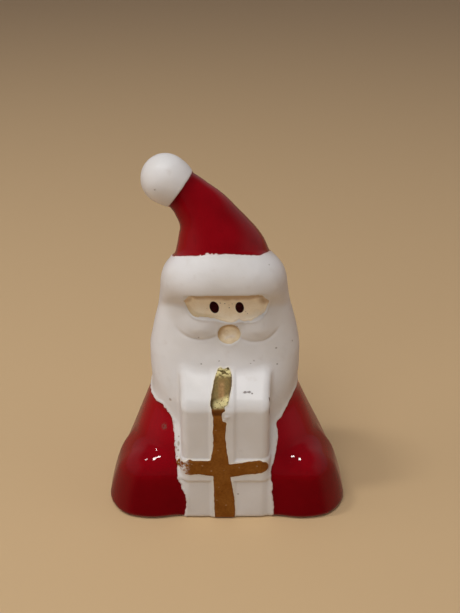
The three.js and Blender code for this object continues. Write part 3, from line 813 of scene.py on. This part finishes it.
# White: thick satin paint, a little uneven, with pinholes, a chip and some dirt.
white = mix_color(step(big, 0.35, 0.65), srgb(217, 214, 211), srgb(224, 222, 221))
white = mix_color(math_node("MULTIPLY", step(mid_n, 0.58, 0.82), 0.55), white, srgb(208, 202, 196))
white = mix_color(math_node("MULTIPLY", step(fine, 0.60, 0.80), 0.10), white, srgb(196, 186, 176))
pinholes = spots([(-5.31, -7.7, 36.6, 0.16), (9.41, -6.7, 33.8, 0.20), (12.66, -4.2, 34.0, 0.17), (5.15, -8.4, 31.9, 0.16),
                  (4.53, -8.6, 31.4, 0.15), (9.65, -7.45, 30.6, 0.17), (-1.44, -8.7, 32.0, 0.14), (-4.85, -8.7, 31.35, 0.15),
                  (1.94, -7.8, 39.0, 0.17), (-13.08, -1.3, 63.6, 0.20), (7.82, -5.8, 50.7, 0.14), (2.22, -15.3, 5.83, 0.20),
                  (4.8, -6.9, 40.05, 0.13), (-12.4, 1.0, 67.2, 0.14)])
pinholes = math_node("MAXIMUM", pinholes, dots(3.4, 0.10, 0.10, 1))
chip = spots([(3.45, -12.7, 27.52, 0.24, (0.7, 1.0, 1.5)), (4.15, -12.7, 27.56, 0.26, (0.6, 1.0, 1.5)), (4.75, -12.9, 27.35, 0.16),
              (4.3, -12.8, 27.0, 0.13)])
dirt = spots([(-9.81, -12.0, 14.64, 0.22), (-9.47, -12.3, 14.2, 0.20), (-10.11, -11.3, 15.8, 0.16), (-9.71, -12.8, 13.0, 0.18),
              (-9.31, -11.2, 16.6, 0.15), (-10.27, -10.2, 17.8, 0.14), (-9.39, -11.8, 15.4, 0.20, (1, 0.6, 0.35)),
              (-10.95, -8.6, 23.4, 0.30)])
crease = math_node("MULTIPLY", spots([(8.08, -13.2, 25.9, 0.26, (1.2, 0.8, 0.22)), (8.02, -14.1, 24.2, 0.18, (1.2, 1.0, 0.20))]), 0.9)
white = mix_color(math_node("MULTIPLY", dirt, 0.65), white, srgb(150, 128, 108))
white = mix_color(crease, white, srgb(92, 66, 42))
white = mix_color(math_node("MULTIPLY", pinholes, 0.55), white, srgb(128, 114, 104))
white = mix_color(math_node("MULTIPLY", chip, 0.85), white, srgb(110, 100, 96))
cream = step(math_node("ABSOLUTE", math_node("ADD", d_gold, 0.12)), 0.16, 0.04)
white = mix_color(math_node("MULTIPLY", cream, 0.5), white, srgb(236, 226, 200))
blush = step(math_node("ADD", d_red, math_node("MULTIPLY", fine, 0.5)), -0.05, 0.25)
white = mix_color(math_node("MULTIPLY", blush, 0.35), white, srgb(206, 150, 140))

# Red: deep, clear glaze, darker near its borders with the white. Painted on it: brighter on the sloping sides as
# painted light, darker low down and in the crease under the bobble as painted shade, and small white painted
# highlights along the hat's lower edge.
crimson = mix_color(step(big, 0.3, 0.7), srgb(122, 2, 11), srgb(136, 3, 15))
crimson = mix_color(math_node("MULTIPLY", step(mid_n, 0.52, 0.78), 0.45), crimson, srgb(112, 1, 9))
crimson = mix_color(math_node("MULTIPLY", step(d_red, 0.35, 0.0), 0.5), crimson, srgb(92, 2, 8))
# painted shade: the red darker towards the bottom of the coat, below about 7 to 14 mm
red_low_painted_shade = step(math_node("ADD", pz, math_node("MULTIPLY", mid_n, 2.5)), 14.0, 7.0)
# painted light: a brighter red on the sloping sides of the coat, between about 12.5 and 30 mm up
crimson = mix_color(math_node("MULTIPLY", math_node("MULTIPLY", step(pz, 12.5, 17.0), step(pz, 30.0, 27.0)), 0.8), crimson, srgb(150, 5, 20))
crimson = mix_color(math_node("MULTIPLY", red_low_painted_shade, 0.60), crimson, srgb(104, 2, 10))
# painted shade: darker red in the crease under the bobble
crimson = mix_color(math_node("MULTIPLY", attr("painted_shade_under_bobble"), 0.55), crimson, srgb(84, 2, 8))
# painted highlights: small white glints on the red along the hat's lower edge
hat_edge_painted_highlights = spots([(-3.57, -6.8, 53.2, 0.20, (0.6, 1, 1)), (-2.66, -7.0, 53.3, 0.15), (-1.93, -7.1, 53.3, 0.17, (0.6, 1, 1)), (-4.85, -6.6, 52.9, 0.13)])
crimson = mix_color(math_node("MULTIPLY", hat_edge_painted_highlights, 0.8), crimson, srgb(236, 222, 216))
smudge = spots([(-12.28, -9.2, 17.66, 0.55, (1.0, 0.6, 0.8))])
smudge = math_node("MULTIPLY", smudge, step(fine, 0.38, 0.60))
crimson = mix_color(math_node("MULTIPLY", smudge, 0.6), crimson, srgb(104, 84, 74))
crimson = mix_color(math_node("MULTIPLY", dots(4.2, 0.12, 0.09, 2), 0.6), crimson, srgb(70, 12, 12))

# Gold: worn brown bronze paint, streaked thin at the left end, with painted light: the top lighter and olive, partly
# tarnish and partly painted sheen, painted glints along the front rounding and at the back end, and a painted shade
# band just under the rounding.
brass = mix_color(step(mid_n, 0.35, 0.65), srgb(152, 92, 29), srgb(166, 106, 40))
brass = mix_color(math_node("MULTIPLY", step(fine, 0.35, 0.70), 0.5), brass, srgb(124, 68, 18))
top = step(pz, 25.0, 25.7)
middle = math_node("ABSOLUTE", math_node("ADD", px, 1.0))
# partly tarnish, partly painted sheen: the olive top, lighter in the middle of the ribbon and darker at its sides
olive = mix_color(step(fine, 0.38, 0.66), srgb(92, 76, 38), srgb(124, 102, 56))
olive = mix_color(math_node("MULTIPLY", step(middle, 0.9, 0.2), step(pz, 29.6, 28.4)), olive, srgb(128, 98, 58))
olive = mix_color(math_node("MULTIPLY", step(middle, 0.9, 1.9), 0.75), olive, srgb(76, 58, 24))
# painted highlight: a band of bright glints along the box's front rounding, and more at the ribbon's back end
shine = step(math_node("ABSOLUTE", math_node("SUBTRACT", pz, math_node("ADD", 26.4, math_node("MULTIPLY", px, 0.25)))), 1.15, 0.15)
shine = math_node("MULTIPLY", shine, step(middle, 1.9, 1.0))
ends = step(pz, 29.2, 30.4)
gold_painted_glints = math_node("MAXIMUM", math_node("MULTIPLY", shine, step(math_node("ADD", fine, math_node("MULTIPLY", grain, 0.6)), 0.55, 0.80)),
                   math_node("MULTIPLY", ends, step(fine, 0.42, 0.60)))
olive = mix_color(gold_painted_glints, olive, srgb(250, 236, 172))
brass = mix_color(top, brass, olive)
# painted shade: a dark band just under the front rounding
brass = mix_color(math_node("MULTIPLY", step(math_node("ABSOLUTE", math_node("SUBTRACT", pz, 24.7)), 0.9, 0.2), 0.65), brass, srgb(74, 30, 8))
brass = mix_color(math_node("MULTIPLY", step(d_gold, 0.22, 0.02), 0.30), brass, srgb(96, 62, 20))
gold_specks = spots([(-1.60, -15.5, 16.36, 0.16), (-6.71, -15.5, 13.06, 0.15), (-4.68, -15.5, 12.75, 0.15), (2.34, -15.5, 12.35, 0.17),
                     (5.80, -15.5, 12.65, 0.18), (-2.98, -15.5, 11.53, 0.17), (-2.03, -15.5, 20.9, 0.11), (-0.55, -15.5, 11.7, 0.12),
                     (-1.53, -15.5, 7.7, 0.13), (-1.94, -15.5, 4.56, 0.13), (-0.18, -15.5, 3.34, 0.14)])
brass = mix_color(math_node("MULTIPLY", gold_specks, 0.6), brass, srgb(196, 168, 132))
gold_dark = dots(1.1, 0.22, 0.11, 3)
brass = mix_color(math_node("MULTIPLY", gold_dark, 0.5), brass, srgb(72, 42, 12))
worn_here = step(px, -6.7, -8.6)
worn = math_node("MULTIPLY", worn_here, step(math_node("ADD", fine, math_node("MULTIPLY", mid_n, 0.5)), 0.70, 0.84))

# Flesh: bare warm clay, with brown painted shade along the top and corners of the slot and in the dimple, and a
# painted highlight on the dimple's ridge.
skin = mix_color(step(mid_n, 0.3, 0.7), srgb(252, 240, 216), srgb(246, 230, 202))
skin = mix_color(math_node("MULTIPLY", step(grain, 0.45, 0.75), 0.25), skin, srgb(222, 196, 150))
skin = mix_color(math_node("MULTIPLY", attr("ochre"), 0.55), skin, srgb(206, 180, 120))
# painted shade: brown in the slot under the band and in the dimple's upper left
skin = mix_color(math_node("MULTIPLY", attr("slot_painted_shade"), 0.62), skin, srgb(164, 118, 60))
face_specks = spots([(-0.40, -7.4, 43.5, 0.11), (-0.10, -7.4, 42.9, 0.12), (0.35, -7.4, 43.2, 0.09), (0.45, -7.3, 42.6, 0.12),
                     (0.98, -7.4, 43.4, 0.09), (-0.7, -7.4, 42.7, 0.08), (3.6, -7.0, 41.5, 0.12), (3.95, -6.9, 41.2, 0.10), (-3.7, -7.0, 42.3, 0.08),
                     (6.9, -6.6, 42.6, 0.13, (1.0, 1.0, 0.5)), (7.3, -6.6, 41.9, 0.10), (4.3, -7.2, 40.5, 0.10), (-1.2, -7.4, 43.6, 0.09)])
# painted highlight: the ridge low in the dimple painted lighter
skin = mix_color(math_node("MULTIPLY", attr("dimple_ridge_and_highlight"), 0.75), skin, srgb(255, 246, 236))
skin = mix_color(math_node("MULTIPLY", face_specks, 0.80), skin, srgb(84, 62, 48))
skin = mix_color(math_node("MULTIPLY", step(math_node("ABSOLUTE", d_flesh), 0.14, 0.03), 0.30), skin, srgb(176, 142, 88))
dark = mix_color(step(fine, 0.4, 0.7), srgb(40, 4, 8), srgb(56, 8, 12))

is_red = step(d_red, -0.03, 0.03)
is_gold = step(d_gold, -0.03, 0.03)
is_gold = math_node("MULTIPLY", is_gold, math_node("SUBTRACT", 1.0, worn))
is_flesh = step(d_flesh, 0.07, -0.01)
is_eye = step(d_eye, 0.03, -0.03)

color = mix_color(is_red, white, crimson)
color = mix_color(is_gold, color, brass)
color = mix_color(is_flesh, color, skin)
color = mix_color(is_eye, color, dark)
link(color, bsdf.inputs["Base Color"])

white_rough = mix_value(step(mid_n, 0.3, 0.7), 0.30, 0.40)
white_rough = mix_value(math_node("MULTIPLY", pinholes, 1.0), white_rough, 0.8)
red_rough = mix_value(step(mid_n, 0.45, 0.75), 0.012, 0.035)
red_rough = mix_value(smudge, red_rough, 0.4)
rough = mix_value(is_red, white_rough, red_rough)
rough = mix_value(is_gold, rough, mix_value(step(fine, 0.3, 0.7), 0.34, 0.50))
rough = mix_value(is_flesh, rough, mix_value(step(fine, 0.3, 0.7), 0.46, 0.62))
rough = mix_value(is_eye, rough, 0.22)
link(rough, bsdf.inputs["Roughness"])
link(mix_value(is_gold, 0.0, mix_value(top, 0.30, 0.45)), bsdf.inputs["Metallic"])
bsdf.inputs["IOR"].default_value = 1.34

# Fine bumps: pores in the white, ripples in the red glaze, grain in the gold and the bare clay.
white_h = math_node("SUBTRACT", math_node("MULTIPLY", fine, 0.30), math_node("MULTIPLY", math_node("MAXIMUM", pinholes, chip), 1.0))
red_h = math_node("MULTIPLY", noise_tex(2.6, 0.0), 0.02)
gold_h = math_node("ADD", math_node("MULTIPLY", fine, 0.55), math_node("MULTIPLY", grain, 0.25))
skin_h = math_node("ADD", math_node("MULTIPLY", fine, 0.7), math_node("MULTIPLY", grain, 0.3))
height = mix_value(is_red, white_h, red_h)
height = mix_value(is_gold, height, gold_h)
height = mix_value(is_flesh, height, skin_h)
bump = node("ShaderNodeBump")
bump.inputs["Strength"].default_value = 0.55
bump.inputs["Distance"].default_value = 0.00010
link(height, bump.inputs["Height"])
link(bump.outputs["Normal"], bsdf.inputs["Normal"])
mesh.materials.append(mat)

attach(obj, "root")
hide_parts("santa_figurine")

# ------------------------------------------------------------------ camera, floor and light

cam = bpy.data.cameras.new("camera")
cam.sensor_fit = "VERTICAL"
cam.sensor_height = 24.0
cam.lens = 960.0 * 24.0 / 613.0
cam_obj = bpy.data.objects.new("camera", cam)
cam_obj.location = (0.00061, -0.16744, 0.122)
cam_obj.rotation_euler = (math.radians(90 - 26.3), 0, 0)
bpy.context.scene.collection.objects.link(cam_obj)
bpy.context.scene.camera = cam_obj

floor_mesh = bpy.data.meshes.new("floor")
s = 1.6
floor_mesh.from_pydata([(-s, -s, 0), (s, -s, 0), (s, s, 0), (-s, s, 0)], [], [(0, 1, 2, 3)])
floor = bpy.data.objects.new("floor", floor_mesh)
bpy.context.scene.collection.objects.link(floor)
floor_mat = bpy.data.materials.new("pale_floor")
floor_mat.use_nodes = True
fb = floor_mat.node_tree.nodes["Principled BSDF"]
fb.inputs["Base Color"].default_value = (*srgb(208, 177, 134), 1)
fb.inputs["Roughness"].default_value = 0.7
floor_mesh.materials.append(floor_mat)
floor.visible_glossy = False


def area(name, place, aim, size, power, color=(1, 1, 1), glossy=True):
    l = bpy.data.lights.new(name, "AREA")
    l.shape = "RECTANGLE"
    l.size, l.size_y = size
    l.energy = power
    l.color = color
    o = bpy.data.objects.new(name, l)
    o.location = place
    o.rotation_euler = (Vector(aim) - Vector(place)).to_track_quat("-Z", "Y").to_euler()
    o.visible_glossy = glossy
    bpy.context.scene.collection.objects.link(o)
    return o


target = (0, 0, 0.03)


def lamp_at(direction, distance):
    v = Vector(direction).normalized() * distance
    return (target[0] + v.x, target[1] + v.y, target[2] + v.z)


area("key_soft", lamp_at((-0.22, -0.46, 0.86), 0.60), target, (0.30, 0.26), 1.03, (1.0, 0.99, 0.98), glossy=False)
area("front_soft", lamp_at((-0.40, -0.85, 0.36), 0.80), target, (0.50, 0.40), 0.74, (0.96, 1.0, 1.04), glossy=False)
area("right_soft", lamp_at((0.85, -0.20, 0.45), 0.70), target, (0.40, 0.40), 0.30, (1.0, 0.96, 0.92), glossy=False)
area("left_soft", lamp_at((-0.80, -0.10, 0.60), 0.60), target, (0.30, 0.30), 0.30, (1.0, 0.98, 0.97), glossy=False)
area("lamp_left", lamp_at((-0.468, -0.095, 0.865), 0.60), target, (0.040, 0.110), 0.66, (1.0, 0.985, 0.96))
area("lamp_over", lamp_at((-0.014, -0.203, 0.977), 0.60), target, (0.040, 0.110), 0.66, (1.0, 0.985, 0.96))

world = bpy.data.worlds.new("world")
bpy.context.scene.world = world
world.use_nodes = True
wn = world.node_tree
bg = wn.nodes["Background"]
way = wn.nodes.new("ShaderNodeTexCoord")
split = wn.nodes.new("ShaderNodeSeparateXYZ")
wn.links.new(way.outputs["Generated"], split.inputs[0])


def sky_ramp(value, stops):
    ramp = wn.nodes.new("ShaderNodeValToRGB")
    wn.links.new(value, ramp.inputs["Fac"])
    ramp.color_ramp.interpolation = "LINEAR"
    els = ramp.color_ramp.elements
    els[0].position, els[0].color = stops[0][0], (*stops[0][1], 1)
    els[1].position, els[1].color = stops[-1][0], (*stops[-1][1], 1)
    for place, c in stops[1:-1]:
        els.new(place).color = (*c, 1)
    return ramp.outputs["Color"]


# Dim on the side the camera stands, pale round the other sides, warm and low down.
near_side = sky_ramp(split.outputs["Z"], [(0.0, (0.08, 0.055, 0.04)), (0.012, (0.20, 0.17, 0.16)), (0.30, (0.17, 0.155, 0.15)),
                                          (0.60, (0.12, 0.11, 0.12)), (1.0, (0.12, 0.12, 0.14))])
far_side = sky_ramp(split.outputs["Z"], [(0.0, (0.42, 0.25, 0.15)), (0.012, (0.47, 0.33, 0.28)), (0.20, (0.54, 0.44, 0.42)),
                                         (0.50, (0.52, 0.47, 0.47)), (0.72, (0.14, 0.13, 0.14)), (1.0, (0.12, 0.12, 0.14))])
turned = wn.nodes.new("ShaderNodeMapRange")
turned.interpolation_type = "SMOOTHSTEP"
turned.inputs["From Min"].default_value = -0.75
turned.inputs["From Max"].default_value = -0.15
wn.links.new(split.outputs["Y"], turned.inputs["Value"])
sky = wn.nodes.new("ShaderNodeMix")
sky.data_type = "RGBA"
wn.links.new(turned.outputs["Result"], sky.inputs["Factor"])
wn.links.new(near_side, sky.inputs[6])
wn.links.new(far_side, sky.inputs[7])
wn.links.new(sky.outputs[2], bg.inputs["Color"])
bg.inputs["Strength"].default_value = 0.66

bpy.context.scene.view_settings.view_transform = "Standard"
bpy.context.scene.view_settings.look = "None"
